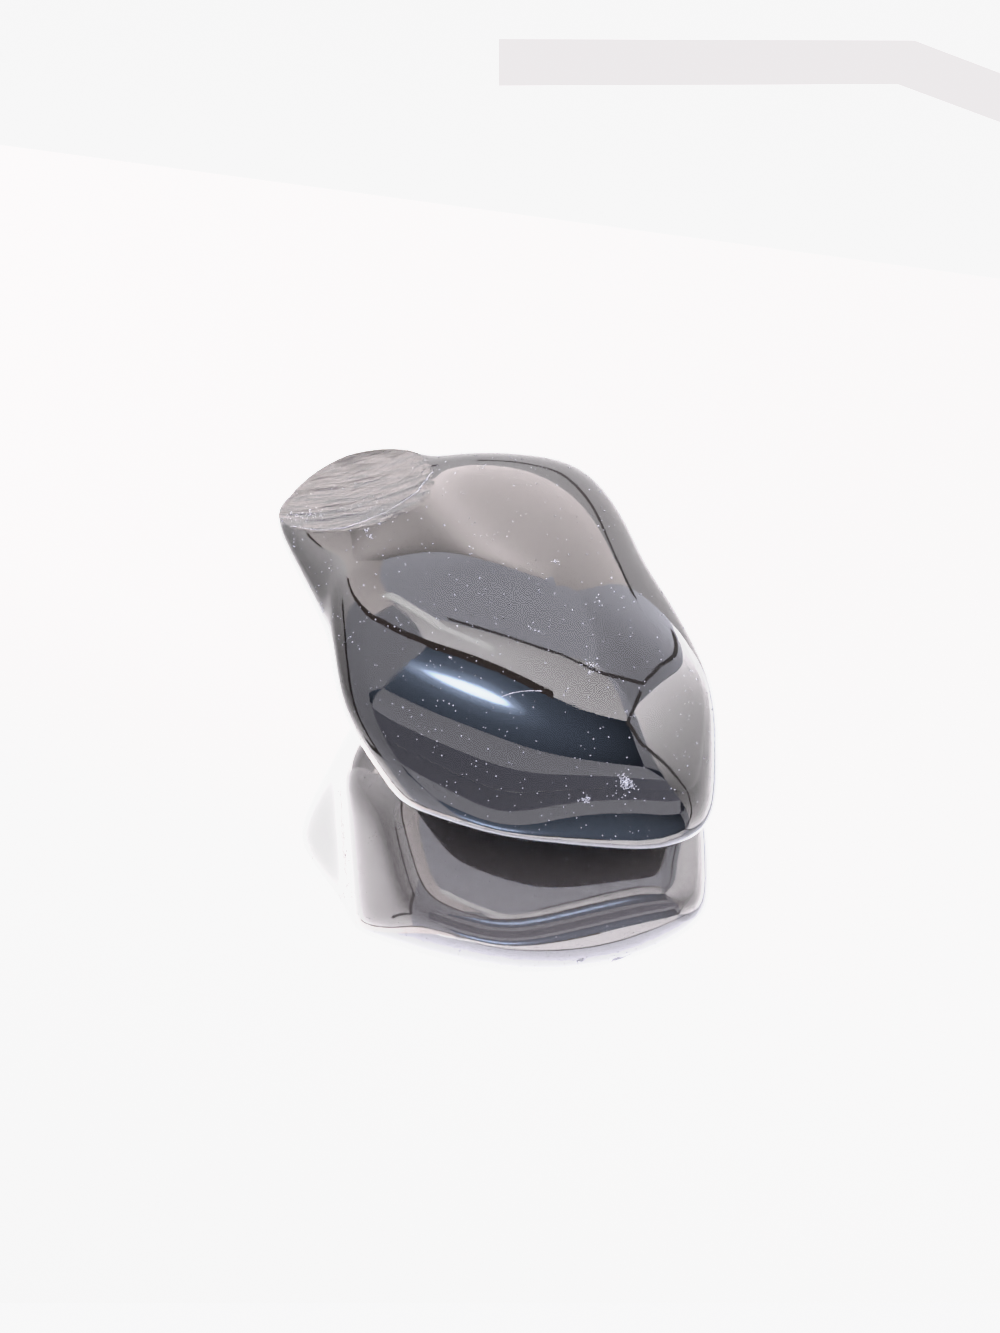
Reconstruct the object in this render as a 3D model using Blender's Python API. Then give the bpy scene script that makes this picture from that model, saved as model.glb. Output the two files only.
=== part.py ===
"""A tumbled chunk of obsidian: one solid lump of volcanic glass with a fresh chip, resting on a small flat.

The lump is described as a knapper would see it. Worn faces lie round a heart point, each with a heading,
a pitch and a reach, and tumbling has rounded the edges between them. A thin wing stands out from one side,
a curved chip has been struck off the wing's top, and the underside is flat where the stone rests.
Run it with: blender --background --python part.py
"""

import math
from dataclasses import dataclass

import bmesh
import bpy
import numpy as np

MM = 0.001

# Driving dimensions, in millimetres and degrees.
HEART = (-0.17, -1.04, 8.5)  # the heart point, placed so that the stone is centred over the origin
BODY_EDGE_HARDNESS = 20.0  # how sharp tumbling left the edges of the body
WING_EDGE_HARDNESS = 22.0
SEAM_HARDNESS = 30.0  # how tight the hollow is where the wing grows from the body
GRID_CUTS = 27  # cuts along each side of the starting block
CHIP_CURVE_RADIUS = 28.0  # the blow left a shallow dish of this radius
CHIP_HEADING = -119.4
CHIP_PITCH = 74.4
CHIP_REACH = 12.95  # from the heart to the plane that touches the dish's deepest point
CHIP_MIDDLE = (-7.5, 7.5)  # the deepest point's place on the dish's long and short axes
CHIP_TOOL_RINGS = 64
HOLLOW_HEADING = 114.0  # a shallow hollow in the right shoulder
HOLLOW_PITCH = 20.0
HOLLOW_DEPTH = 0.5
HOLLOW_SPREAD = 14.0
FLOOR_BLOCK_SIZE = 60.0  # of the block that trims the underside flat
FLOOR_BLOCK_DEPTH = 10.0
GLASS_COLOUR = (0.012, 0.010, 0.012, 1.0)
GLASS_ROUGHNESS = 0.06
GLASS_IOR = 1.49


@dataclass(frozen=True)
class Facet:
    """One worn face: where it looks, and how far it lies from the heart point.

    heading is 0 at the front (-Y) and 90 at the right (+X), and pitch is 90 straight up. Both are in
    degrees, and reach is in millimetres.
    """

    name: str
    heading: float
    pitch: float
    reach: float

    def normal(self):
        return direction(self.heading, self.pitch)


BODY = (
    Facet("crown", 48, 86, 11.3),
    Facet("crown right", 54, 74, 11.8),
    Facet("crown left", -62, 75, 13.4),
    Facet("crown rear right", 125, 70, 13.6),
    Facet("crown rear", 180, 67, 15.3),
    Facet("crown rear left", -112, 62, 13.9),
    Facet("right brow", 24, 64, 11.8),
    Facet("left brow", -18, 60, 11.6),
    Facet("upper right face", 22, 49, 11.9),
    Facet("upper face", 8, 50, 11.6),
    Facet("upper left face", -6, 50, 11.3),
    Facet("far left face", -20, 48, 10.9),
    Facet("right face", 22, 36, 14.1),
    Facet("face", 6, 38, 12.4),
    Facet("left face", -8, 38, 11.7),
    Facet("left cheek", -24, 34, 11.75),
    Facet("front right", 24, 18, 16.3),
    Facet("front", 6, 22, 13.6),
    Facet("front left", -14, 22, 12.35),
    Facet("left corner", -30, 18, 13.0),
    Facet("nose", 6, 0, 14.4),
    Facet("left nose", -25, 0, 13.0),
    Facet("chin", -22, -60, 9.6),
    Facet("jowl", 10, -60, 13.6),
    Facet("cheek", -64, -20, 11.5),
    Facet("left", -84, 0, 12.1),
    Facet("right", 88, 0, 16.9),
    Facet("right shoulder", 115, 3, 13.2),
    Facet("rear corner", 140, 15, 16.9),
    Facet("back slope", 180, 28, 17.6),
    Facet("back", 180, 5, 15.5),
    Facet("rear left", -150, 22, 17.2),
    Facet("left underside", -113, -30, 13.0),
    Facet("rear underside", 165, -50, 11.5),
    Facet("left belly", -95, -60, 10.2),
    Facet("right belly", 60, -50, 16.6),
    Facet("base", 0, -90, 8.9),
    Facet("right cheek", 44, 32, 15.4),
    Facet("right slope", 84, 60, 12.7),
    Facet("right rim", 96, 44, 14.4),
    Facet("rear rim", 110, 58, 14.5),
)

WING = (
    Facet("top", -50, 74, 11.9),
    Facet("front", -56, 20, 13.3),
    Facet("side", -68, -17, 9.8),
    Facet("underside", -113, -24, 13.8),
    Facet("back", -150, 25, 20.4),
    Facet("rear edge", -138, 43, 21.0),
    Facet("root", 90, 0, 4.0),
    Facet("rear root", 165, 10, 13.0),
    Facet("front root", 0, 30, 6.9),
    Facet("lower root", 0, -60, 7.5),
    Facet("belly", -95, -52, 9.8),
    Facet("rear underside", 165, -50, 10.5),
    Facet("base", 0, -90, 8.0),
    Facet("shoulder", -45, 50, 12.5),
    Facet("tip", -112, 0, 18.5),
    Facet("flank", -24, 48, 10.6),
    Facet("inner top", 120, 65, 10.6),
    Facet("rear right", 150, 35, 13.4),
)


def direction(heading, pitch):
    """Unit vector of a heading and a pitch in degrees."""
    turn = math.radians(heading)
    lift = math.radians(pitch)
    return np.array(
        (math.sin(turn) * math.cos(lift), -math.cos(turn) * math.cos(lift), math.sin(lift))
    )


def worn_reach(rays, facets, hardness):
    """How far each ray from the heart travels inside faces whose shared edges are worn round."""
    slopes = np.array([facet.normal() / facet.reach for facet in facets])
    return (np.maximum(rays @ slopes.T, 0.0) ** hardness).sum(axis=1) ** (-1.0 / hardness)


def stone_reach(rays):
    """How far the whole stone extends along each ray, in millimetres, before it is chipped."""
    body = worn_reach(rays, BODY, BODY_EDGE_HARDNESS)
    wing = worn_reach(rays, WING, WING_EDGE_HARDNESS)
    joined = (body**SEAM_HARDNESS + wing**SEAM_HARDNESS) ** (1.0 / SEAM_HARDNESS)
    aside = np.degrees(np.arccos(np.clip(rays @ direction(HOLLOW_HEADING, HOLLOW_PITCH), -1, 1)))
    return joined - HOLLOW_DEPTH * np.exp(-((aside / HOLLOW_SPREAD) ** 2))


def new_collection(name):
    collection = bpy.data.collections.new(name)
    bpy.context.scene.collection.children.link(collection)
    return collection


def link_mesh(name, shape, collection):
    """Turns a bmesh into an object of that name, shaded smooth."""
    mesh = bpy.data.meshes.new(name)
    for face in shape.faces:
        face.smooth = True
    shape.to_mesh(mesh)
    shape.free()
    item = bpy.data.objects.new(name, mesh)
    collection.objects.link(item)
    return item


def link_cutter(name, shape, collection):
    """An object that only cuts: it is out of the render and drawn as wire."""
    item = link_mesh(name, shape, collection)
    item.hide_render = True
    item.display_type = "WIRE"
    return item


def cut(item, cutter):
    """Takes the cutter's volume out of the item."""
    boolean = item.modifiers.new("cut by " + cutter.name, "BOOLEAN")
    boolean.operation = "DIFFERENCE"
    boolean.solver = "EXACT"
    boolean.object = cutter


def lump(collection):
    """The whole stone before the chip: an evenly gridded block, each point drawn out to the worn faces."""
    shape = bmesh.new()
    bmesh.ops.create_cube(shape, size=2.0)
    bmesh.ops.subdivide_edges(shape, edges=shape.edges[:], cuts=GRID_CUTS, use_grid_fill=True)
    points = np.array([vertex.co for vertex in shape.verts])
    spread = np.tan(points * (math.pi / 4))  # evens out the grid once it is round
    rays = spread / np.linalg.norm(spread, axis=1, keepdims=True)
    placed = rays * stone_reach(rays)[:, None] + HEART
    for vertex, place in zip(shape.verts, placed):
        vertex.co = place * MM
    bmesh.ops.recalc_face_normals(shape, faces=shape.faces[:])
    return link_mesh("obsidian_chunk", shape, collection)


def chip_tool(collection):
    """A large ball whose near side is the dish that the blow left."""
    out = direction(CHIP_HEADING, CHIP_PITCH)
    long = np.array((1.0, 0.0, 0.0)) - out * out[0]
    long /= np.linalg.norm(long)
    short = np.cross(out, long)
    middle = long * CHIP_MIDDLE[0] + short * CHIP_MIDDLE[1]
    centre = out * (CHIP_REACH + CHIP_CURVE_RADIUS) + middle + HEART
    shape = bmesh.new()
    bmesh.ops.create_uvsphere(
        shape, u_segments=2 * CHIP_TOOL_RINGS, v_segments=CHIP_TOOL_RINGS, radius=CHIP_CURVE_RADIUS * MM
    )
    bmesh.ops.translate(shape, verts=shape.verts[:], vec=centre * MM)
    return link_cutter("chip_tool", shape, collection)


def floor_block(collection):
    """A block whose top is the floor: it trims the underside to a flat that the stone rests on."""
    shape = bmesh.new()
    bmesh.ops.create_cube(shape, size=1.0)
    size = (FLOOR_BLOCK_SIZE * MM, FLOOR_BLOCK_SIZE * MM, FLOOR_BLOCK_DEPTH * MM)
    bmesh.ops.scale(shape, verts=shape.verts[:], vec=size)
    bmesh.ops.translate(shape, verts=shape.verts[:], vec=(0.0, 0.0, -FLOOR_BLOCK_DEPTH / 2 * MM))
    return link_cutter("floor_block", shape, collection)


def obsidian_material():
    """Polished black volcanic glass."""
    material = bpy.data.materials.new("obsidian")
    material.use_nodes = True
    shader = material.node_tree.nodes["Principled BSDF"]
    shader.inputs["Base Color"].default_value = GLASS_COLOUR
    shader.inputs["Roughness"].default_value = GLASS_ROUGHNESS
    shader.inputs["Metallic"].default_value = 0.0
    shader.inputs["IOR"].default_value = GLASS_IOR
    return material


def main():
    for item in list(bpy.data.objects):
        bpy.data.objects.remove(item, do_unlink=True)
    stone = lump(new_collection("obsidian chunk"))
    stone.data.materials.append(obsidian_material())
    cutters = new_collection("cutters")
    cut(stone, chip_tool(cutters))
    cut(stone, floor_block(cutters))


if __name__ == "__main__":
    main()
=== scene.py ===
"""Finishes for the obsidian chunk: a tumble-polished lump of volcanic glass with a fresh chip on its wing.

The stone is remade here as a fine mesh from the same worn faces as its solid, with the chip's rippled
floor, the bruises of tumbling and the dust that settled on it. It lies just over a polished pale floor in
a light tent, as a stone on a mirror lies over the silvering. All lengths are millimetres until MM turns
them to metres.
"""

import enum
import logging
import math
from dataclasses import dataclass

import bmesh
import bpy
import numpy as np
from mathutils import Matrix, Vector
from mathutils.bvhtree import BVHTree


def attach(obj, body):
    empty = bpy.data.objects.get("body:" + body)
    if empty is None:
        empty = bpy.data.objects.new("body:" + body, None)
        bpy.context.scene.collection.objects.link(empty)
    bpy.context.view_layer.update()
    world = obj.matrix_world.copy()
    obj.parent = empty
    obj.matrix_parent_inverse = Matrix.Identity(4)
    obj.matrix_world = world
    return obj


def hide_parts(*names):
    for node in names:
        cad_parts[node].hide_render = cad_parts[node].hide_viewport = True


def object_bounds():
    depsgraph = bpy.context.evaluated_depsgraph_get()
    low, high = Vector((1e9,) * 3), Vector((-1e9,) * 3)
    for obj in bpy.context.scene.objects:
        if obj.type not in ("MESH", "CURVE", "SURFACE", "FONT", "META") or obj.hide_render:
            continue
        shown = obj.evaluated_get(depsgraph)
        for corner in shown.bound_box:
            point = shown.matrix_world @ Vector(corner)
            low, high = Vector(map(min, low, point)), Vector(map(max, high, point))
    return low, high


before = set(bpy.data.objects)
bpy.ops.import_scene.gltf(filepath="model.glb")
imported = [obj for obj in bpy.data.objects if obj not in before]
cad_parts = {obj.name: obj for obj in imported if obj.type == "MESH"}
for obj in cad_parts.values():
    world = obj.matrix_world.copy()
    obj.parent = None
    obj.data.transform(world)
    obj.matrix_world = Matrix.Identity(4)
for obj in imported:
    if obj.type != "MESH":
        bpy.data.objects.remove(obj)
cad_low, cad_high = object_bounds()

logging.basicConfig(level=logging.INFO, format="%(message)s")
log = logging.getLogger("obsidian chunk")

MM = 0.001
NODE = "obsidian_chunk"
MATH = "ShaderNodeMath"
VECTOR_MATH = "ShaderNodeVectorMath"

# The stone's own frame: the heart is the point that every worn face is measured from.
HEART = (-0.17, -1.04, 8.5)
REACH_UNIT = 10.0  # reaches are counted in this many millimetres, so that their high powers stay small
TYPICAL_REACH = 14.0  # millimetres from the heart to the surface: turns a spread there to a spread of rays


def linear(hex_colour: str) -> tuple[float, float, float, float]:
    """Turns an sRGB hex colour to Blender's linear RGBA.

    Args:
        hex_colour: a colour such as "#d8d2cc".

    Returns:
        Its red, green, blue and alpha.
    """
    parts = [int(hex_colour[i : i + 2], 16) / 255 for i in (1, 3, 5)]
    return (*[p / 12.92 if p <= 0.04045 else ((p + 0.055) / 1.055) ** 2.4 for p in parts], 1.0)


def direction(heading: float, pitch: float) -> Vector:
    """Unit vector of a heading and a pitch.

    Args:
        heading: degrees round from the front, with 90 at the right.
        pitch: degrees above the level, with 90 straight up.

    Returns:
        The unit vector.
    """
    turn = math.radians(heading)
    lift = math.radians(pitch)
    return Vector((math.sin(turn) * math.cos(lift), -math.cos(turn) * math.cos(lift), math.sin(lift)))


def add_node(
    tree: bpy.types.NodeTree, kind: str, feeds: dict | None = None, **settings: object
) -> bpy.types.Node:
    """Adds one node, with its settings and what feeds its sockets.

    Args:
        tree: the node tree.
        kind: the node's type name.
        feeds: input socket name or number, to a value or to the output socket that feeds it.
        settings: the node's own properties.

    Returns:
        The node.
    """
    node = tree.nodes.new(kind)
    for name, value in settings.items():
        setattr(node, name, value)
    for socket, value in (feeds or {}).items():
        if isinstance(value, bpy.types.NodeSocket):
            tree.links.new(value, node.inputs[socket])
        else:
            node.inputs[socket].default_value = value
    return node


def link(name: str, mesh: bpy.types.Mesh) -> bpy.types.Object:
    """Makes an object of a mesh and puts it in the scene.

    Args:
        name: the piece's name.
        mesh: its mesh, with its place in its vertices.

    Returns:
        The object.
    """
    item = bpy.data.objects.new(name, mesh)
    bpy.context.scene.collection.objects.link(item)
    return item


def settle(item: bpy.types.Object) -> bpy.types.Mesh:
    """Turns an object's modifiers into plain mesh and takes the modifiers off.

    Args:
        item: the object.

    Returns:
        Its new mesh.
    """
    graph = bpy.context.evaluated_depsgraph_get()
    mesh = bpy.data.meshes.new_from_object(item.evaluated_get(graph))
    item.modifiers.clear()
    item.data = mesh
    return mesh


def grow(item: bpy.types.Object, tree: bpy.types.NodeTree, values: dict) -> bpy.types.Mesh:
    """Runs a Geometry Nodes tree on an object and keeps the result as plain mesh.

    Args:
        item: the object that carries the tree.
        tree: the tree.
        values: the tree's named inputs.

    Returns:
        The object's new mesh.
    """
    modifier = item.modifiers.new(tree.name, "NODES")
    modifier.node_group = tree
    for socket in tree.interface.items_tree:
        if socket.in_out == "INPUT" and socket.name in values:
            modifier[socket.identifier] = values[socket.name]
    return settle(item)


@dataclass(frozen=True)
class Facet:
    """One worn face: where it looks in degrees, and how far it lies from the heart in millimetres."""

    name: str
    heading: float
    pitch: float
    reach: float

    def slope(self) -> Vector:
        """Direction over reach: its dot product with a ray is one over the ray's way to the face."""
        return direction(self.heading, self.pitch) * (REACH_UNIT / self.reach)


BODY = (
    Facet("crown", 48, 86, 11.3),
    Facet("crown right", 54, 74, 11.8),
    Facet("crown left", -62, 75, 13.4),
    Facet("crown rear right", 125, 70, 13.6),
    Facet("crown rear", 180, 67, 15.3),
    Facet("crown rear left", -112, 62, 13.9),
    Facet("right brow", 24, 64, 11.8),
    Facet("left brow", -18, 60, 11.6),
    Facet("upper right face", 22, 49, 11.9),
    Facet("upper face", 8, 50, 11.6),
    Facet("upper left face", -6, 50, 11.3),
    Facet("far left face", -20, 48, 10.9),
    Facet("right face", 22, 36, 14.1),
    Facet("face", 6, 38, 12.4),
    Facet("left face", -8, 38, 11.7),
    Facet("left cheek", -24, 34, 11.75),
    Facet("front right", 24, 18, 16.3),
    Facet("front", 6, 22, 13.6),
    Facet("front left", -14, 22, 12.35),
    Facet("left corner", -30, 18, 13.0),
    Facet("nose", 6, 0, 14.4),
    Facet("left nose", -25, 0, 13.0),
    Facet("chin", -22, -60, 9.6),
    Facet("jowl", 10, -60, 13.6),
    Facet("cheek", -64, -20, 11.5),
    Facet("left", -84, 0, 12.1),
    Facet("right", 88, 0, 16.9),
    Facet("right shoulder", 115, 3, 13.2),
    Facet("rear corner", 140, 15, 16.9),
    Facet("back slope", 180, 28, 17.6),
    Facet("back", 180, 5, 15.5),
    Facet("rear left", -150, 22, 17.2),
    Facet("left underside", -113, -30, 13.0),
    Facet("rear underside", 165, -50, 11.5),
    Facet("left belly", -95, -60, 10.2),
    Facet("right belly", 60, -50, 16.6),
    Facet("base", 0, -90, 8.9),
    Facet("right cheek", 44, 32, 15.4),
    Facet("right slope", 84, 60, 12.7),
    Facet("right rim", 96, 44, 14.4),
    Facet("rear rim", 110, 58, 14.5),
)

WING = (
    Facet("top", -50, 74, 11.9),
    Facet("front", -56, 20, 13.3),
    Facet("side", -68, -17, 9.8),
    Facet("underside", -113, -24, 13.8),
    Facet("back", -150, 25, 20.4),
    Facet("rear edge", -138, 43, 21.0),
    Facet("root", 90, 0, 4.0),
    Facet("rear root", 165, 10, 13.0),
    Facet("front root", 0, 30, 6.9),
    Facet("lower root", 0, -60, 7.5),
    Facet("belly", -95, -52, 9.8),
    Facet("rear underside", 165, -50, 10.5),
    Facet("base", 0, -90, 8.0),
    Facet("shoulder", -45, 50, 12.5),
    Facet("tip", -112, 0, 18.5),
    Facet("flank", -24, 48, 10.6),
    Facet("inner top", 120, 65, 10.6),
    Facet("rear right", 150, 35, 13.4),
)


@dataclass(frozen=True)
class VolcanicGlass:
    """Obsidian, tumble-polished, with one fresh break.

    To the eye it is black and mirror-like, because the glass drinks light within a few millimetres. Where it
    thins to an edge it turns smoky and pinkish grey. Tumbling left a faint haze in the polish. The fresh
    break is satin, with hackle lines along the chip.
    """

    ior: float = 1.49
    absorption: tuple[float, float, float] = (0.52, 0.60, 0.64)  # light lost to a millimetre, by colour
    polish: float = 0.02  # roughness of the clean polish
    haze: float = 0.055  # and of the hazier patches
    haze_size: float = 5.0  # millimetres across a hazy patch
    haze_starts: float = 0.4  # noise value where the polish starts to dull
    haze_full: float = 0.7  # and where it is haziest
    break_roughness: float = 0.15
    orange_peel: float = 2.2  # millimetres across a ripple that the polish left
    orange_peel_height: float = 0.0012
    hackle_length: float = 8.3333  # millimetres that a hackle line runs
    hackle_spacing: float = 0.90909  # and between two of them: coarser than real ones, so that they show
    hackle_height: float = 0.25

    def build(self) -> bpy.types.Material:
        """Makes the material: clear glass outside, coloured absorption inside.

        Returns:
            The material.
        """
        material = bpy.data.materials.new("obsidian_volcanic_glass")
        material.use_nodes = True
        tree = material.node_tree
        tree.nodes.clear()
        place = add_node(tree, "ShaderNodeTexCoord").outputs["Object"]
        fresh = add_node(tree, "ShaderNodeAttribute", attribute_name="fresh_break").outputs["Fac"]

        haze = add_node(
            tree,
            "ShaderNodeTexNoise",
            {"Vector": place, "Scale": 1 / (self.haze_size * MM), "Detail": 4.0, "Roughness": 0.6},
        )
        polished = add_node(
            tree,
            "ShaderNodeMapRange",
            {
                "Value": haze.outputs["Fac"],
                "From Min": self.haze_starts,
                "From Max": self.haze_full,
                "To Min": self.polish,
                "To Max": self.haze,
            },
        )
        roughness = add_node(
            tree,
            "ShaderNodeMix",
            {"Factor": fresh, 2: polished.outputs["Result"], 3: self.break_roughness},
        )

        peel = add_node(
            tree,
            "ShaderNodeTexNoise",
            {"Vector": place, "Scale": 1 / (self.orange_peel * MM), "Detail": 2.0},
        )
        peel_bump = add_node(
            tree,
            "ShaderNodeBump",
            {"Height": peel.outputs["Fac"], "Distance": self.orange_peel_height * MM, "Strength": 1.0},
        )
        along = 1 / (self.hackle_length * MM)
        across = 1 / (self.hackle_spacing * MM)
        stretched = add_node(
            tree, VECTOR_MATH, {0: place, 1: (along, across, across)}, operation="MULTIPLY"
        )
        hackles = add_node(
            tree, "ShaderNodeTexNoise", {"Vector": stretched.outputs[0], "Scale": 1.0, "Detail": 4.0}
        )
        rise = add_node(tree, MATH, {0: hackles.outputs["Fac"], 1: fresh}, operation="MULTIPLY")
        hackle_bump = add_node(
            tree,
            "ShaderNodeBump",
            {
                "Height": rise.outputs[0],
                "Distance": self.hackle_height * MM,
                "Strength": 1.0,
                "Normal": peel_bump.outputs["Normal"],
            },
        )
        shader = add_node(
            tree,
            "ShaderNodeBsdfPrincipled",
            {
                "Base Color": (1.0, 1.0, 1.0, 1.0),
                "Roughness": roughness.outputs[0],
                "IOR": self.ior,
                "Transmission Weight": 1.0,
                "Normal": hackle_bump.outputs["Normal"],
            },
        )
        most = max(self.absorption)
        volume = add_node(
            tree,
            "ShaderNodeVolumeAbsorption",
            {"Color": (*[1 - a / most for a in self.absorption], 1.0), "Density": most / MM},
        )
        add_node(
            tree,
            "ShaderNodeOutputMaterial",
            {"Surface": shader.outputs["BSDF"], "Volume": volume.outputs["Volume"]},
        )
        return material


@dataclass
class Stone:
    """The whole stone: a gridded block drawn out to its worn faces, chipped, and ground flat beneath."""

    grid: int = 113  # points along each side of the starting block
    skin: float = 0.03  # how far this surface lies inside the ideal one that the solid's facets follow
    body_hardness: float = 20.0
    wing_hardness: float = 22.0
    seam_hardness: float = 30.0  # how tight the hollow is where the wing grows from the body
    hollow_heading: float = 114.0  # of the shallow hollow in the right shoulder
    hollow_pitch: float = 20.0
    hollow_depth: float = 0.5
    hollow_spread: float = 14.0
    chip_heading: float = -119.4  # of the dish that the blow left in the wing's top
    chip_pitch: float = 74.4
    chip_reach: float = 12.95
    chip_radius: float = 28.0
    chip_middle: tuple[float, float] = (-7.5, 7.5)  # on its long and short axes
    chip_long: tuple[float, float] = (-11.0, 11.0)  # how far the cutter runs on its long axis
    chip_short: tuple[float, float] = (-9.0, 9.5)  # and on its short axis
    chip_step: float = 0.15  # between the cutter's points
    chip_clearance: float = 12.0  # how far the cutter stands up, past all of the stone
    blow: tuple[float, float] = (3.0, 7.0)  # where the blow fell, on the same axes
    ripple_height: float = 0.05
    # Each set of ripples: its share of that height, its turn to a millimetre on the short and long axes,
    # and its start, in radians.
    ripples: tuple[tuple[float, float, float, float], ...] = ((0.5, 2.1, 0.25, 0.0), (0.3, 4.7, -0.4, 1.0))
    rings: tuple[float, float] = (0.4, 2.6)  # the share and the turn of the rings round the blow
    floor_size: float = 60.0  # of the block that grinds the underside flat
    floor_depth: float = 10.0
    flat_below: float = 0.002  # a face whose middle is lower than this belongs to the flat

    def reach_nodes(
        self,
        tree: bpy.types.NodeTree,
        ray: bpy.types.NodeSocket,
        facets: tuple[Facet, ...],
        hardness: bpy.types.NodeSocket,
    ) -> bpy.types.NodeSocket:
        """Adds the nodes that work out how far a ray goes inside faces whose edges are worn round.

        Args:
            tree: the Geometry Nodes tree.
            ray: the ray's direction.
            facets: the faces.
            hardness: how sharp the edges between them are.

        Returns:
            The reach, in REACH_UNIT.
        """
        total = None
        for facet in facets:
            along = add_node(tree, VECTOR_MATH, {0: ray, 1: facet.slope()}, operation="DOT_PRODUCT")
            facing = add_node(tree, MATH, {0: along.outputs["Value"], 1: 0.0}, operation="MAXIMUM")
            powered = add_node(tree, MATH, {0: facing.outputs[0], 1: hardness}, operation="POWER")
            if total is None:
                total = powered.outputs[0]
            else:
                total = add_node(
                    tree, MATH, {0: total, 1: powered.outputs[0]}, operation="ADD"
                ).outputs[0]
        root = add_node(tree, MATH, {0: -1.0, 1: hardness}, operation="DIVIDE")
        reach = add_node(tree, MATH, {0: total, 1: root.outputs[0]}, operation="POWER")
        return reach.outputs[0]

    def worn_tree(self) -> bpy.types.NodeTree:
        """Makes the Geometry Nodes tree that draws a block out to the worn faces.

        Returns:
            The tree.
        """
        tree = bpy.data.node_groups.new("worn stone", "GeometryNodeTree")
        inputs = tree.interface
        inputs.new_socket("Grid", in_out="INPUT", socket_type="NodeSocketInt")
        for name in ("Body Hardness", "Wing Hardness", "Seam Hardness"):
            inputs.new_socket(name, in_out="INPUT", socket_type="NodeSocketFloat")
        for name in ("Skin", "Hollow Depth", "Hollow Spread"):
            inputs.new_socket(name, in_out="INPUT", socket_type="NodeSocketFloat")
        for name in ("Hollow Direction", "Heart"):
            inputs.new_socket(name, in_out="INPUT", socket_type="NodeSocketVector")
        inputs.new_socket("Material", in_out="INPUT", socket_type="NodeSocketMaterial")
        inputs.new_socket("Geometry", in_out="OUTPUT", socket_type="NodeSocketGeometry")
        given = add_node(tree, "NodeGroupInput").outputs

        grid = given["Grid"]
        block = add_node(
            tree,
            "GeometryNodeMeshCube",
            {"Size": (2.0, 2.0, 2.0), "Vertices X": grid, "Vertices Y": grid, "Vertices Z": grid},
        )
        position = add_node(tree, "GeometryNodeInputPosition").outputs[0]
        quarter = add_node(tree, VECTOR_MATH, {0: position, "Scale": math.pi / 4}, operation="SCALE")
        spread = add_node(tree, VECTOR_MATH, {0: quarter.outputs[0]}, operation="TANGENT")
        unit = add_node(tree, VECTOR_MATH, {0: spread.outputs[0]}, operation="NORMALIZE")
        ray = unit.outputs[0]

        body = self.reach_nodes(tree, ray, BODY, given["Body Hardness"])
        wing = self.reach_nodes(tree, ray, WING, given["Wing Hardness"])
        seam = given["Seam Hardness"]
        parts = [
            add_node(tree, MATH, {0: part, 1: seam}, operation="POWER").outputs[0]
            for part in (body, wing)
        ]
        both = add_node(tree, MATH, {0: parts[0], 1: parts[1]}, operation="ADD")
        root = add_node(tree, MATH, {0: 1.0, 1: seam}, operation="DIVIDE")
        joined = add_node(tree, MATH, {0: both.outputs[0], 1: root.outputs[0]}, operation="POWER")

        towards = add_node(
            tree, VECTOR_MATH, {0: ray, 1: given["Hollow Direction"]}, operation="DOT_PRODUCT"
        )
        aside = add_node(tree, MATH, {0: towards.outputs["Value"]}, operation="ARCCOSINE")
        share = add_node(tree, MATH, {0: aside.outputs[0], 1: given["Hollow Spread"]}, operation="DIVIDE")
        square = add_node(tree, MATH, {0: share.outputs[0], 1: share.outputs[0]}, operation="MULTIPLY")
        minus = add_node(tree, MATH, {0: square.outputs[0], 1: -1.0}, operation="MULTIPLY")
        bell = add_node(tree, MATH, {0: minus.outputs[0]}, operation="EXPONENT")
        dip = add_node(
            tree,
            MATH,
            {0: bell.outputs[0], 1: given["Hollow Depth"], 2: given["Skin"]},
            operation="MULTIPLY_ADD",
        )
        whole = add_node(tree, MATH, {0: joined.outputs[0], 1: REACH_UNIT * MM}, operation="MULTIPLY")
        reach = add_node(tree, MATH, {0: whole.outputs[0], 1: dip.outputs[0]}, operation="SUBTRACT")
        drawn = add_node(tree, VECTOR_MATH, {0: ray, "Scale": reach.outputs[0]}, operation="SCALE")
        placed = add_node(tree, VECTOR_MATH, {0: drawn.outputs[0], 1: given["Heart"]}, operation="ADD")
        shaped = add_node(
            tree,
            "GeometryNodeSetPosition",
            {"Geometry": block.outputs["Mesh"], "Position": placed.outputs[0]},
        )
        smooth = add_node(tree, "GeometryNodeSetShadeSmooth", {"Geometry": shaped.outputs[0]})
        real = add_node(tree, "GeometryNodeRealizeInstances", {"Geometry": smooth.outputs[0]})
        dressed = add_node(
            tree, "GeometryNodeSetMaterial", {"Geometry": real.outputs[0], "Material": given["Material"]}
        )
        add_node(tree, "NodeGroupOutput", {"Geometry": dressed.outputs[0]})
        return tree

    def chip_axes(self) -> tuple[Vector, Vector, Vector, Vector]:
        """Works out how the chip's dish lies.

        Returns:
            Its centre of curvature in millimetres, and its outward, long and short axes.
        """
        out = direction(self.chip_heading, self.chip_pitch)
        long = Vector((1.0, 0.0, 0.0))
        long = (long - out * long.dot(out)).normalized()
        short = out.cross(long)
        middle = long * self.chip_middle[0] + short * self.chip_middle[1]
        return Vector(HEART) + middle + out * (self.chip_reach + self.chip_radius), out, long, short

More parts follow.
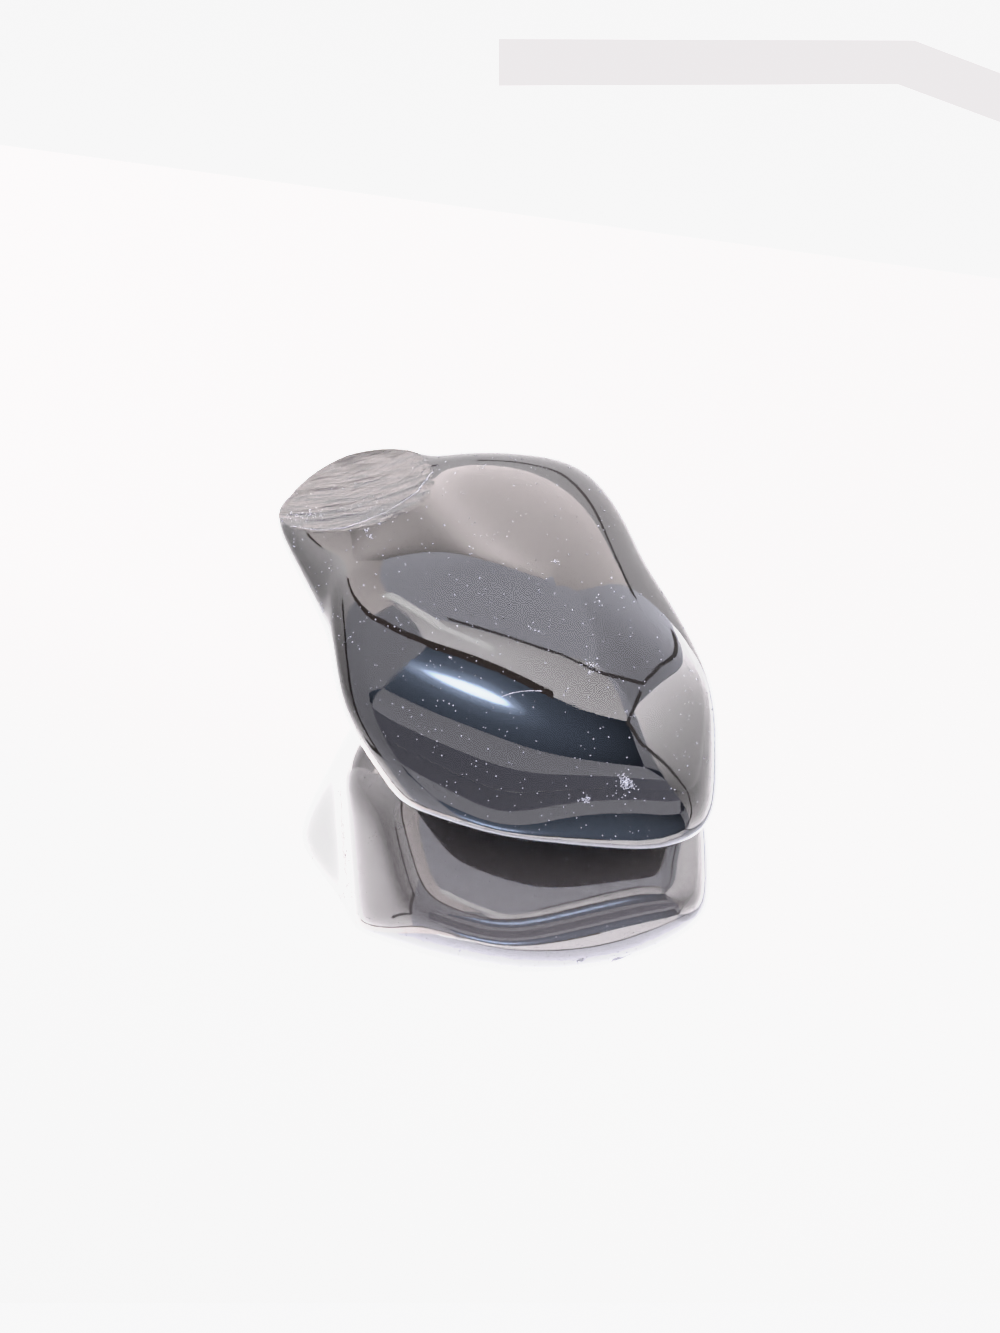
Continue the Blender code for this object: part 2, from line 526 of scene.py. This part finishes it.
    def chip_tool(self) -> bpy.types.Object:
        """Makes the cutter that leaves the chip: a dish with the blow's ripples on it, closed above.

        Returns:
            The cutter.
        """
        centre, out, long, short = self.chip_axes()
        a0, a1 = self.chip_long
        b0, b1 = self.chip_short
        columns = round((a1 - a0) / self.chip_step)
        rows = round((b1 - b0) / self.chip_step)
        across = columns + 1
        points = []
        faces = []
        for lift in (0.0, self.chip_clearance):
            for row in range(rows + 1):
                for column in range(across):
                    a = a0 + (a1 - a0) * column / columns
                    b = b0 + (b1 - b0) * row / rows
                    depth = math.sqrt(self.chip_radius**2 - a * a - b * b) + self.ripple(a, b) - lift
                    points.append((centre - out * depth + long * a + short * b) * MM)
        top = across * (rows + 1)
        for row in range(rows):
            for column in range(columns):
                k = row * across + column
                faces.append((k, k + across, k + across + 1, k + 1))
                faces.append((top + k, top + k + 1, top + k + across + 1, top + k + across))
        rim = [(k, k + 1) for k in range(columns)]
        rim += [(columns + k * across, columns + (k + 1) * across) for k in range(rows)]
        rim += [(rows * across + k + 1, rows * across + k) for k in range(columns)]
        rim += [((k + 1) * across, k * across) for k in range(rows)]
        faces += [(k, j, top + j, top + k) for k, j in rim]
        mesh = bpy.data.meshes.new("chip_tool")
        mesh.from_pydata(points, [], faces)
        return link("chip_tool", mesh)

    def ripple(self, a: float, b: float) -> float:
        """Works out how far the chip's floor rises or dips: two sets of ripples, and rings round the blow.

        Args:
            a: the place on the dish's long axis, in millimetres.
            b: the place on its short axis.

        Returns:
            The height in millimetres.
        """
        total = sum(share * math.sin(rise * b + run * a + start) for share, rise, run, start in self.ripples)
        share, turn = self.rings
        total += share * math.sin(turn * math.hypot(a - self.blow[0], b - self.blow[1]))
        return self.ripple_height * total

    def floor_block(self) -> bpy.types.Object:
        """Makes the cutter that grinds the underside flat.

        Returns:
            The cutter.
        """
        size = Vector((self.floor_size, self.floor_size, self.floor_depth)) * MM
        shape = bmesh.new()
        bmesh.ops.create_cube(shape, size=1.0)
        bmesh.ops.scale(shape, verts=shape.verts[:], vec=size)
        bmesh.ops.translate(shape, verts=shape.verts[:], vec=(0.0, 0.0, -size.z / 2))
        mesh = bpy.data.meshes.new("floor_block")
        shape.to_mesh(mesh)
        shape.free()
        return link("floor_block", mesh)

    def cut(self, item: bpy.types.Object, cutter: bpy.types.Object, material: bpy.types.Material) -> None:
        """Takes the cutter's volume out of the item, then throws the cutter away.

        Args:
            item: the stone.
            cutter: what is taken out of it.
            material: what the stone is left wearing, on the cut as well.
        """
        modifier = item.modifiers.new("cut", "BOOLEAN")
        modifier.operation = "DIFFERENCE"
        modifier.solver = "MANIFOLD"
        modifier.object = cutter
        mesh = settle(item)
        mesh.materials.clear()
        mesh.materials.append(material)
        mesh.polygons.foreach_set("material_index", [0] * len(mesh.polygons))
        bpy.data.objects.remove(cutter, do_unlink=True)

    def mark_break(self, mesh: bpy.types.Mesh) -> None:
        """Marks the faces of the fresh break, and keeps its rim and the flat's rim sharp.

        Args:
            mesh: the cut stone's mesh.
        """
        centre = self.chip_axes()[0]
        count = len(mesh.polygons)
        middles = np.empty(count * 3)
        mesh.polygons.foreach_get("center", middles)
        middles = middles.reshape(-1, 3) / MM
        away = np.linalg.norm(middles - np.array(centre), axis=1)
        fresh = away < self.chip_radius + 3 * self.ripple_height
        flat = middles[:, 2] < self.flat_below
        kind = fresh.astype(int) + 2 * flat.astype(int)
        marks = mesh.attributes.new("fresh_break", "FLOAT", "FACE")
        marks.data.foreach_set("value", fresh.astype(np.float32))
        corners = np.empty(count, np.int32)
        mesh.polygons.foreach_get("loop_total", corners)
        kinds = np.repeat(kind, corners)
        edge_of_corner = np.empty(len(mesh.loops), np.int32)
        mesh.loops.foreach_get("edge_index", edge_of_corner)
        lowest = np.full(len(mesh.edges), kind.max())
        highest = np.full(len(mesh.edges), kind.min())
        np.minimum.at(lowest, edge_of_corner, kinds)
        np.maximum.at(highest, edge_of_corner, kinds)
        mesh.shade_smooth()
        flags = mesh.attributes.get("sharp_edge")
        if flags is None:
            flags = mesh.attributes.new("sharp_edge", "BOOLEAN", "EDGE")
        flags.data.foreach_set("value", lowest != highest)

    def build(self, finish: VolcanicGlass) -> bpy.types.Object:
        """Makes the stone and dresses it.

        Args:
            finish: the glass.

        Returns:
            The finished piece.
        """
        material = finish.build()
        stone = link("stone", bpy.data.meshes.new("stone"))
        grow(
            stone,
            self.worn_tree(),
            {
                "Grid": self.grid,
                "Body Hardness": self.body_hardness,
                "Wing Hardness": self.wing_hardness,
                "Seam Hardness": self.seam_hardness,
                "Skin": self.skin * MM,
                "Hollow Depth": self.hollow_depth * MM,
                "Hollow Spread": math.radians(self.hollow_spread),
                "Hollow Direction": tuple(direction(self.hollow_heading, self.hollow_pitch)),
                "Heart": tuple(Vector(HEART) * MM),
                "Material": material,
            },
        )
        self.cut(stone, self.chip_tool(), material)
        self.cut(stone, self.floor_block(), material)
        self.mark_break(stone.data)
        return stone


@dataclass(frozen=True)
class Mark:
    """A cluster of crushed flakes along a path, which is a point where the mark is round."""

    name: str
    path: tuple[tuple[float, float], ...]  # heading and pitch from the heart, in degrees
    spread: float  # millimetres to each side
    flakes: int
    fine: bool = False  # made of the hairlines' smaller flakes


class Strewn(enum.Enum):
    """What a kind of flake grows on."""

    POINTS = "points"
    SURFACE = "surface"


@dataclass(frozen=True)
class Flakes:
    """Tiny angular flakes of crushed glass or dust, which show as fine light specks on the black polish.

    Real powder is finer and paler. These are as coarse as they need to be to show, and greyer to make up.
    """

    name: str
    strewn: Strewn
    size: float  # millimetres from the middle to the farthest corner
    colour: str
    seed: int
    density: float = 0.0  # flakes to a square millimetre, over a surface
    thinnest: float = 0.25  # a flake's least half width, as a share of its size
    roughness: float = 0.7
    lowest_slope: float = -0.15  # how far a surface may face down and still hold a flake, as its normal's Z
    clearance: float = 0.001  # the least that a flake keeps to the sides of the solid's box

    def finish(self) -> bpy.types.Material:
        """Makes the material: matt grey powder, which gives the eye a soft light speck.

        Returns:
            The material.
        """
        material = bpy.data.materials.new(self.name + "_powder")
        material.use_nodes = True
        shader = material.node_tree.nodes["Principled BSDF"]
        shader.inputs["Base Color"].default_value = linear(self.colour)
        shader.inputs["Roughness"].default_value = self.roughness
        return material

    def tree(self) -> bpy.types.NodeTree:
        """Makes the Geometry Nodes tree that grows the flakes.

        Returns:
            The tree.
        """
        tree = bpy.data.node_groups.new(self.name, "GeometryNodeTree")
        inputs = tree.interface
        inputs.new_socket("Geometry", in_out="INPUT", socket_type="NodeSocketGeometry")
        for name in ("Size", "Density"):
            inputs.new_socket(name, in_out="INPUT", socket_type="NodeSocketFloat")
        inputs.new_socket("Seed", in_out="INPUT", socket_type="NodeSocketInt")
        inputs.new_socket("Material", in_out="INPUT", socket_type="NodeSocketMaterial")
        inputs.new_socket("Geometry", in_out="OUTPUT", socket_type="NodeSocketGeometry")
        given = add_node(tree, "NodeGroupInput").outputs
        if self.strewn is Strewn.SURFACE:
            normal = add_node(tree, "GeometryNodeInputNormal")
            height = add_node(tree, "ShaderNodeSeparateXYZ", {0: normal.outputs[0]})
            upward = add_node(
                tree,
                MATH,
                {0: height.outputs["Z"], 1: self.lowest_slope},
                operation="GREATER_THAN",
            )
            spots = add_node(
                tree,
                "GeometryNodeDistributePointsOnFaces",
                {
                    "Mesh": given["Geometry"],
                    "Selection": upward.outputs[0],
                    "Density": given["Density"],
                    "Seed": given["Seed"],
                },
            ).outputs["Points"]
        else:
            spots = add_node(tree, "GeometryNodeMeshToPoints", {"Mesh": given["Geometry"]}).outputs[0]
        flake = add_node(tree, "GeometryNodeMeshIcoSphere", {"Radius": 1.0, "Subdivisions": 1})
        form = add_node(
            tree,
            "FunctionNodeRandomValue",
            {0: (self.thinnest,) * 3, 1: (1.0, 1.0, 1.0), "Seed": given["Seed"]},
            data_type="FLOAT_VECTOR",
        )
        scaled = add_node(
            tree, VECTOR_MATH, {0: form.outputs[0], "Scale": given["Size"]}, operation="SCALE"
        )
        turn = add_node(
            tree,
            "FunctionNodeRandomValue",
            {0: (0.0, 0.0, 0.0), 1: (math.tau,) * 3, "Seed": given["Seed"]},
            data_type="FLOAT_VECTOR",
        )
        grown = add_node(
            tree,
            "GeometryNodeInstanceOnPoints",
            {
                "Points": spots,
                "Instance": flake.outputs["Mesh"],
                "Rotation": turn.outputs[0],
                "Scale": scaled.outputs[0],
            },
        )
        real = add_node(tree, "GeometryNodeRealizeInstances", {"Geometry": grown.outputs[0]})
        dressed = add_node(
            tree, "GeometryNodeSetMaterial", {"Geometry": real.outputs[0], "Material": given["Material"]}
        )
        add_node(tree, "NodeGroupOutput", {"Geometry": dressed.outputs[0]})
        return tree

    def build(self, base: bpy.types.Mesh) -> bpy.types.Object:
        """Grows the flakes on a mesh's points or faces, all inside the solid's box.

        Args:
            base: the mesh.

        Returns:
            The finished piece.
        """
        item = link(self.name, base)
        material = self.finish()
        mesh = grow(
            item,
            self.tree(),
            {
                "Size": self.size * MM,
                "Density": self.density / MM**2,
                "Seed": self.seed,
                "Material": material,
            },
        )
        inside = self.clearance * MM
        places = np.empty(len(mesh.vertices) * 3, np.float32)
        mesh.vertices.foreach_get("co", places)
        held = np.clip(places.reshape(-1, 3), np.array(cad_low) + inside, np.array(cad_high) - inside)
        mesh.vertices.foreach_set("co", held.ravel())
        mesh.materials.clear()
        mesh.materials.append(material)
        return item


@dataclass(frozen=True)
class Wear:
    """The bruises, nicks and scratches of tumbling, the crushed rim of the chip with a painted highlight (a
    glint) on it, and the dust.
    """

    seed: int = 7
    marks: tuple[Mark, ...] = (
        Mark("star bruise", ((37.6, 3.7),), 0.20, 120),
        Mark("star bruise halo", ((37.6, 3.7),), 0.42, 46),
        Mark("star bruise arm", ((36.0, 6.0), (37.6, 3.7), (39.5, 1.6)), 0.10, 26),
        Mark("small bruise", ((26.7, 0.2),), 0.14, 36),
        Mark("small bruise tail", ((24.5, 0.0), (27.5, 0.6)), 0.08, 14),
        Mark("shoulder scuff", ((44.0, 40.0), (45.5, 37.0), (47.5, 35.0)), 0.26, 34),
        Mark("shoulder nick", ((43.0, 35.5),), 0.12, 12),
        Mark("crown star", ((97.0, 67.0),), 0.16, 16),
        Mark("wing nick", ((-110.4, 47.7),), 0.10, 14),
        Mark("lower wing nick", ((-107.0, 49.2),), 0.12, 18),
        Mark("inner wing nick", ((-115.0, 51.0),), 0.08, 8),
        Mark("crown scratch", ((25.5, 59.5), (29.0, 57.5), (34.0, 54.5)), 0.05, 14),
        Mark(
            "arc scratch",
            ((3.5, 35.2), (8.0, 36.2), (12.0, 36.5), (17.0, 36.2), (21.5, 35.3)),
            0.01,
            170,
            fine=True,
        ),
        Mark(
            "chip rim",
            (
                (-110.0, 31.0),
                (-109.0, 37.0),
                (-111.0, 42.0),
                (-116.0, 46.0),
                (-123.0, 49.0),
                (-134.0, 51.0),
                (-142.0, 52.0),
                (-154.0, 48.0),
            ),
            0.015,
            420,
            fine=True,
        ),
        # painted highlight: coarse grey flakes set where the chip's crushed rim glints
        Mark("chip rim painted glint", ((-142.0, 52.0), (-150.0, 50.0)), 0.03, 14),
        Mark("chip powder", ((-112.0, 36.0), (-122.0, 46.0), (-135.0, 56.0)), 1.3, 60, fine=True),
        Mark("tip powder", ((-114.0, 31.0), (-122.0, 36.0), (-128.0, 42.0)), 0.5, 70, fine=True),
        Mark("crushed tip", ((-114.0, 29.0), (-116.0, 31.0), (-118.0, 33.0)), 0.30, 70),
        Mark("neck flakes", ((-87.5, 31.0), (-85.0, 29.5)), 0.14, 22),
        Mark("brow nick", ((-26.0, 47.0),), 0.08, 8),
        Mark("shoulder speck", ((76.0, 53.0), (70.5, 49.0)), 0.2, 8),
    )

    def base(self, stone: bpy.types.Object, fine: bool) -> bpy.types.Mesh:
        """Finds where each flake of the marks sits on the stone.

        Args:
            stone: the finished stone.
            fine: whether for the hairlines, or for the coarser marks.

        Returns:
            A mesh of loose points.
        """
        corners = [vertex.co.copy() for vertex in stone.data.vertices]
        faces = [tuple(face.vertices) for face in stone.data.polygons]
        surface = BVHTree.FromPolygons(corners, faces)
        heart = Vector(HEART) * MM
        picker = np.random.default_rng(self.seed)
        points = []
        for mark in [m for m in self.marks if m.fine is fine]:
            for _ in range(mark.flakes):
                last = len(mark.path) - 1
                place = picker.uniform(0, last)
                step = max(min(int(place), last - 1), 0)
                start = mark.path[step]
                end = mark.path[min(step + 1, last)]
                part = place - step
                ray = direction(*(a + (b - a) * part for a, b in zip(start, end)))
                aside = Vector(picker.normal(0, mark.spread / TYPICAL_REACH, 3))
                points.append(surface.ray_cast(heart, (ray + aside).normalized())[0])
        mesh = bpy.data.meshes.new("marks")
        mesh.from_pydata(points, [], [])
        return mesh

    def build(self, stone: bpy.types.Object) -> list[bpy.types.Object]:
        """Makes the marks and the dust.

        Args:
            stone: the finished stone.

        Returns:
            The three pieces.
        """
        # the coarse flakes also carry the painted highlight on the chip rim
        marks = Flakes("crushed_marks_and_painted_glint", Strewn.POINTS, 0.065, "#78787d", self.seed)
        lines = Flakes("hairlines", Strewn.POINTS, 0.045, "#7c7c82", self.seed + 1)
        dust = Flakes("dust_specks", Strewn.SURFACE, 0.075, "#66666c", self.seed + 2, density=0.8)
        return [
            marks.build(self.base(stone, False)),
            lines.build(self.base(stone, True)),
            dust.build(stone.data.copy()),
        ]


Spot = tuple[float, float, float]


def glowing(
    name: str, points: list[Spot], faces: list[tuple[int, ...]], glow: list[float], tint: str
) -> bpy.types.Object:
    """Makes a lit sheet that the camera itself doesn't see.

    Args:
        name: the sheet's name.
        points: its corners, in millimetres.
        faces: its faces.
        glow: how strong the light is at each corner.
        tint: the light's colour.

    Returns:
        The sheet, already part of the stage.
    """
    mesh = bpy.data.meshes.new(name)
    mesh.from_pydata([Vector(p) * MM for p in points], [], faces)
    mesh.attributes.new("glow", "FLOAT", "POINT").data.foreach_set("value", glow)
    material = bpy.data.materials.new(name)
    material.use_nodes = True
    tree = material.node_tree
    tree.nodes.clear()
    strength = add_node(tree, "ShaderNodeAttribute", attribute_name="glow").outputs["Fac"]
    light = add_node(tree, "ShaderNodeEmission", {"Color": linear(tint), "Strength": strength})
    add_node(tree, "ShaderNodeOutputMaterial", {"Surface": light.outputs[0]})
    mesh.materials.append(material)
    sheet = link(name, mesh)
    sheet.visible_camera = False
    return sheet


@dataclass(frozen=True)
class Panel:
    """One lit sheet of the tent: four corners, how strongly each glows, and the light's tint."""

    name: str
    corners: tuple[Spot, Spot, Spot, Spot]
    glow: tuple[float, float, float, float]
    tint: str

    def build(self) -> bpy.types.Object:
        """Puts up the sheet."""
        return glowing(self.name, list(self.corners), [(0, 1, 2, 3)], list(self.glow), self.tint)


@dataclass(frozen=True)
class Fold:
    """A sewn fold between two sheets of the tent, which shows as a thin dark line in polished glass."""

    name: str
    path: tuple[Spot, ...]
    width: float = 7.0
    glow: float = 1.6
    tint: str = "#cfc4c8"
    nearer: float = 0.985  # how far along from the stone to the wall it hangs
    faces_to: Spot = (0.0, 0.0, 10.0)  # the stone's middle

    def build(self) -> bpy.types.Object:
        """Hangs the fold along its path.

        Returns:
            The fold.
        """
        middle = Vector(self.faces_to)
        spots = [middle + (Vector(p) - middle) * self.nearer for p in self.path]
        points = []
        for k, spot in enumerate(spots):
            run = spots[min(k + 1, len(spots) - 1)] - spots[max(k - 1, 0)]
            side = run.cross(spot - middle).normalized() * (self.width / 2)
            points += [spot - side, spot + side]
        faces = [(2 * k, 2 * k + 1, 2 * k + 3, 2 * k + 2) for k in range(len(spots) - 1)]
        return glowing(self.name, points, faces, [self.glow] * len(points), self.tint)


@dataclass(frozen=True)
class Lamp:
    """A long soft lamp beyond the opening: bright in the middle, with a wide dim bluish halo."""

    centre: Spot = (-130.0, -285.0, 309.0)
    tilt: float = -15.5  # degrees from level
    # Half width, half height and glow of each ring, from the middle out.
    rings: tuple[tuple[float, float, float], ...] = (
        (0.0, 0.0, 60.0),
        (62.0, 8.0, 48.0),
        (100.0, 19.0, 11.0),
        (135.0, 42.0, 3.8),
        (190.0, 75.0, 2.2),
        (280.0, 125.0, 1.5),
        (400.0, 230.0, 0.5),
    )
    sides: int = 40
    tint: str = "#c9dcff"

    def build(self) -> bpy.types.Object:
        """Hangs the lamp.

        Returns:
            The lamp.
        """
        turn = math.radians(self.tilt)
        points = []
        glow = []
        for wide, tall, strength in self.rings:
            for k in range(self.sides):
                angle = 2 * math.pi * k / self.sides
                a = wide * math.cos(angle)
                b = tall * math.sin(angle)
                x = a * math.cos(turn) - b * math.sin(turn)
                z = a * math.sin(turn) + b * math.cos(turn)
                points.append((self.centre[0] + x, self.centre[1], self.centre[2] + z))
                glow.append(strength)
        faces = []
        for ring in range(len(self.rings) - 1):
            inner = ring * self.sides
            outer = inner + self.sides
            for k in range(self.sides):
                j = (k + 1) % self.sides
                faces.append((inner + k, inner + j, outer + j, outer + k))
        return glowing("lamp", points, faces, glow, self.tint)


@dataclass(frozen=True)
class LightTent:
    """A white tent, lit through its walls, with a slanting opening at the front and a lamp beyond it.

    Left is -X, right +X, the front -Y and the back +Y.
    """

    reach: float = 200.0  # from the middle to each wall
    top: float = 400.0
    head_left: tuple[float, float] = (-160.0, 295.0)  # the opening's corners, across and up
    head_right: tuple[float, float] = (176.0, 212.0)
    sill_left: tuple[float, float] = (-178.0, 155.0)
    sill_right: tuple[float, float] = (160.0, 78.0)
    jamb_foot: tuple[float, float] = (118.0, 60.0)  # how high the jambs meet the side walls, left and right
    hem: tuple[float, float] = (80.0, 30.0)  # the height of the sheet at the foot, left and right
    back_seam: tuple[float, float] = (60.0, 125.0)  # and of the back wall's seam
    left_seam: tuple[float, float] = (318.0, 180.0)  # the height of the left wall's seam, front and back
    left_turn: tuple[float, float] = (-105.0, 285.0)  # where its front sheet ends: its Y and its height
    right_seam: tuple[float, float] = (240.0, 40.0)  # the height of the right wall's seam, front and back
    room_distance: float = 320.0  # to the wall of the dim room beyond the opening
    room_corners: tuple[tuple[float, float], ...] = ((-420, 0), (420, 0), (420, 620), (-420, 620))
    warm: str = "#fff5f6"
    cool: str = "#f3f2ff"
    blue: str = "#e8e8ff"
    plain: str = "#fef9fd"
    room_tint: str = "#aab4dc"

    def walls(self) -> tuple[Panel, ...]:
        """Lists the sheets of the top, the back and the sides, each with its corners' glow in order.

        Returns:
            The sheets.
        """
        left = -self.reach
        right = self.reach
        front = -self.reach
        back = self.reach
        top = self.top
        front_left = (left, front, top)
        front_right = (right, front, top)
        back_left = (left, back, top)
        back_right = (right, back, top)
        seam_left = (left, back, self.back_seam[0])
        seam_right = (right, back, self.back_seam[1])
        left_near = (left, front, self.left_seam[0])
        left_far = (left, back, self.left_seam[1])
        right_near = (right, front, self.right_seam[0])
        right_far = (right, back, self.right_seam[1])
        turn_foot = (left, self.left_turn[0], 0)
        turn_head = (left, *self.left_turn)
        far_left = (left, back, 0)
        far_right = (right, back, 0)
        near_left = (left, front, 0)
        near_right = (right, front, 0)
        sheets = (
            ("top", (front_left, front_right, back_right, back_left), (6.2, 6.6, 6.6, 6.6), self.cool),
            ("back", (seam_left, seam_right, back_right, back_left), (10.0, 7.6, 6.6, 2.4), self.warm),
            ("back_foot", (far_left, far_right, seam_right, seam_left), (2.2, 3.2, 4.2, 4.4), self.plain),
            ("left", (turn_foot, far_left, left_far, turn_head), (1.6, 4.4, 7.6, 7.0), self.plain),
            ("left_top", (left_near, left_far, back_left, front_left), (9.5, 8.0, 5.5, 8.6), self.warm),
            ("left_front", (near_left, turn_foot, turn_head, left_near), (2.8, 3.2, 4.4, 4.4), self.cool),
            ("right", (near_right, far_right, right_far, right_near), (2.2, 15.0, 13.0, 14.5), self.plain),
            ("right_top", (right_near, right_far, back_right, front_right), (4.2, 6.6, 6.2, 5.6), self.cool),
        )
        return tuple(Panel("tent_" + name, *rest) for name, *rest in sheets)

    def front(self) -> tuple[Panel, ...]:
        """Lists the sheets round the opening, and the dim room that shows through it.

        Returns:
            The sheets.
        """
        left = -self.reach
        right = self.reach
        front = -self.reach
        top_left = (left, front, self.top)
        top_right = (right, front, self.top)
        head_left = (self.head_left[0], front, self.head_left[1])
        head_right = (self.head_right[0], front, self.head_right[1])
        sill_left = (self.sill_left[0], front, self.sill_left[1])
        sill_right = (self.sill_right[0], front, self.sill_right[1])
        jamb_left = (left, front, self.jamb_foot[0])
        jamb_right = (right, front, self.jamb_foot[1])
        hem_left = (left, front, self.hem[0])
        hem_right = (right, front, self.hem[1])
        foot_left = (left, front, 0)
        foot_right = (right, front, 0)
        room = tuple((across, -self.room_distance, up) for across, up in self.room_corners)
        sheets = (
            ("lintel", (head_left, head_right, top_right, top_left), (11.4, 8.8, 6.8, 8.0), self.plain),
            ("left_jamb", (jamb_left, sill_left, head_left, top_left), (3.8, 4.2, 4.4, 4.6), self.cool),
            ("right_jamb", (sill_right, jamb_right, top_right, head_right), (3.3, 3.3, 8.0, 8.0), self.cool),
            ("sill", (hem_left, hem_right, sill_right, sill_left), (4.2, 4.4, 4.2, 3.8), self.cool),
            ("hem", (foot_left, foot_right, hem_right, hem_left), (1.8, 2.4, 2.4, 1.8), self.blue),
        )
        panels = tuple(Panel("tent_" + name, *rest) for name, *rest in sheets)
        return (*panels, Panel("room", room, (0.8, 0.7, 0.5, 0.6), self.room_tint))

    def folds(self) -> tuple[Fold, ...]:
        """Lists the seams between the sheets, and one bright gleam over the opening.

        Returns:
            The folds.
        """
        return (
            Fold(
                "top_front_fold",
                ((-150, -190, 400), (130, -200, 400), (185, -200, 350), (200, -140, 240)),
                width=9.0,
            ),
            Fold("right_fold", ((200, -140, 240), (200, -20, 190), (200, 180, 60))),
            Fold(
                "corner_fold",
                ((200, -160, 240), (175, -200, 210), (185, -200, 150), (200, -165, 60), (200, -145, 0)),
            ),
            Fold("left_fold", ((-200, -30, 155), (-200, -100, 125), (-200, -100, 0)), width=22.0, glow=0.6),
            Fold(
                "shoulder_fold",
                ((-200, 80, 220), (-200, -200, 320), (-160, -200, 300), (-60, -200, 275), (60, -200, 245)),
                width=11.0,
                tint="#b9a5a2",
            ),
            Fold("back_fold", ((0, 200, 65), (60, 200, 65), (180, 200, 115), (200, 190, 130))),
            Fold(
                "lintel_gleam",
                ((-195, -140, 390), (-160, -200, 365), (-130, -200, 345), (-60, -200, 320)),
                width=16.0,
                glow=13.0,
                tint="#fffdff",
            ),
        )

    def build(self) -> None:
        """Puts up the sheets, the folds and the lamp."""
        for part in (*self.walls(), *self.front(), *self.folds(), Lamp()):
            part.build()


@dataclass
class Floor:
    """A plain pale floor with a mirror polish, as far under the stone as silvering is under its glass."""

    size: float = 404.0
    sheet: float = 0.55  # how far the shine lies under the stone, for a thin glass that isn't drawn
    dust: float = 0.02  # share of the floor that a fine dust veils
    shine_colour: str = "#f7f7f7"
    dust_colour: str = "#fbf0ee"

    def build(self) -> None:
        """Lays the floor."""
        shape = bmesh.new()
        bmesh.ops.create_grid(shape, x_segments=1, y_segments=1, size=self.size / 2 * MM)
        bmesh.ops.translate(shape, verts=shape.verts[:], vec=(0.0, 0.0, -self.sheet * MM))
        mesh = bpy.data.meshes.new("floor")
        shape.to_mesh(mesh)
        shape.free()
        floor = link("floor", mesh)
        material = bpy.data.materials.new("polished_pale_floor")
        material.use_nodes = True
        tree = material.node_tree
        tree.nodes.clear()
        shine = add_node(
            tree, "ShaderNodeBsdfGlossy", {"Color": linear(self.shine_colour), "Roughness": 0.0}
        )
        veil = add_node(tree, "ShaderNodeBsdfDiffuse", {"Color": linear(self.dust_colour)})
        both = add_node(
            tree, "ShaderNodeMixShader", {0: self.dust, 1: shine.outputs[0], 2: veil.outputs[0]}
        )
        add_node(tree, "ShaderNodeOutputMaterial", {"Surface": both.outputs[0]})
        mesh.materials.append(material)


@dataclass
class Viewpoint:
    """The camera, looking down at the stone from the front."""

    target: tuple[float, float, float] = (0.23, -1.04, 8.9)
    pitch: float = 45.0
    distance: float = 206.25
    long_side: float = 1333.0  # of the picture, in pixels
    focal_pixels: float = 2750.0
    sensor: float = 36.0
    nearest: float = 1.0
    farthest: float = 5000.0
    surround: float = 6.0  # as bright as the tent's walls, so that the floor fades into it
    # How light in the scene comes out in the picture, from black up.
    shoulder: tuple[tuple[float, float], ...] = (
        (0.0, 0.0),
        (0.8, 0.8),
        (1.5, 0.92),
        (7.0, 0.94),
        (10.0, 1.0),
    )

    def camera(self) -> None:
        """Makes the camera."""
        data = bpy.data.cameras.new("camera")
        data.sensor_width = self.sensor
        data.lens = self.sensor * self.focal_pixels / self.long_side
        data.clip_start = self.nearest * MM
        data.clip_end = self.farthest * MM
        camera = bpy.data.objects.new("camera", data)
        bpy.context.scene.collection.objects.link(camera)
        away = direction(0.0, self.pitch)
        camera.location = (Vector(self.target) + away * self.distance) * MM
        camera.rotation_euler = (math.radians(90.0 - self.pitch), 0.0, 0.0)
        bpy.context.scene.camera = camera

    def world(self) -> None:
        """Makes the plain white surround."""
        world = bpy.data.worlds.new("surround")
        bpy.context.scene.world = world
        world.use_nodes = True
        background = world.node_tree.nodes["Background"]
        background.inputs["Color"].default_value = (1.0, 1.0, 1.0, 1.0)
        background.inputs["Strength"].default_value = self.surround

    def tones(self) -> None:
        """Sets the soft roll-off of the brightest tones."""
        view = bpy.context.scene.view_settings
        view.view_transform = "Standard"
        view.use_curve_mapping = True
        curves = view.curve_mapping
        curves.use_clip = False
        brightest = self.shoulder[-1][0]
        curves.white_level = (brightest,) * 3
        tone = curves.curves[3]  # the one for all three colours together
        for place, value in self.shoulder[1:-1]:
            tone.points.new(place / brightest, value)
        for point in tone.points:
            point.handle_type = "VECTOR"
        curves.update()

    def build(self) -> None:
        """Makes the camera, the surround and the roll-off."""
        self.camera()
        self.world()
        self.tones()


def main() -> None:
    """Builds the pieces in order and reports each."""
    Viewpoint().build()
    Floor().build()
    LightTent().build()
    stone = Stone().build(VolcanicGlass())
    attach(stone, "root")
    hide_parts(NODE)
    log.info("stone: %d faces", len(stone.data.polygons))
    for piece in Wear().build(stone):
        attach(piece, "root")
        log.info("%s: %d faces", piece.name, len(piece.data.polygons))


if __name__ == "__main__":
    main()
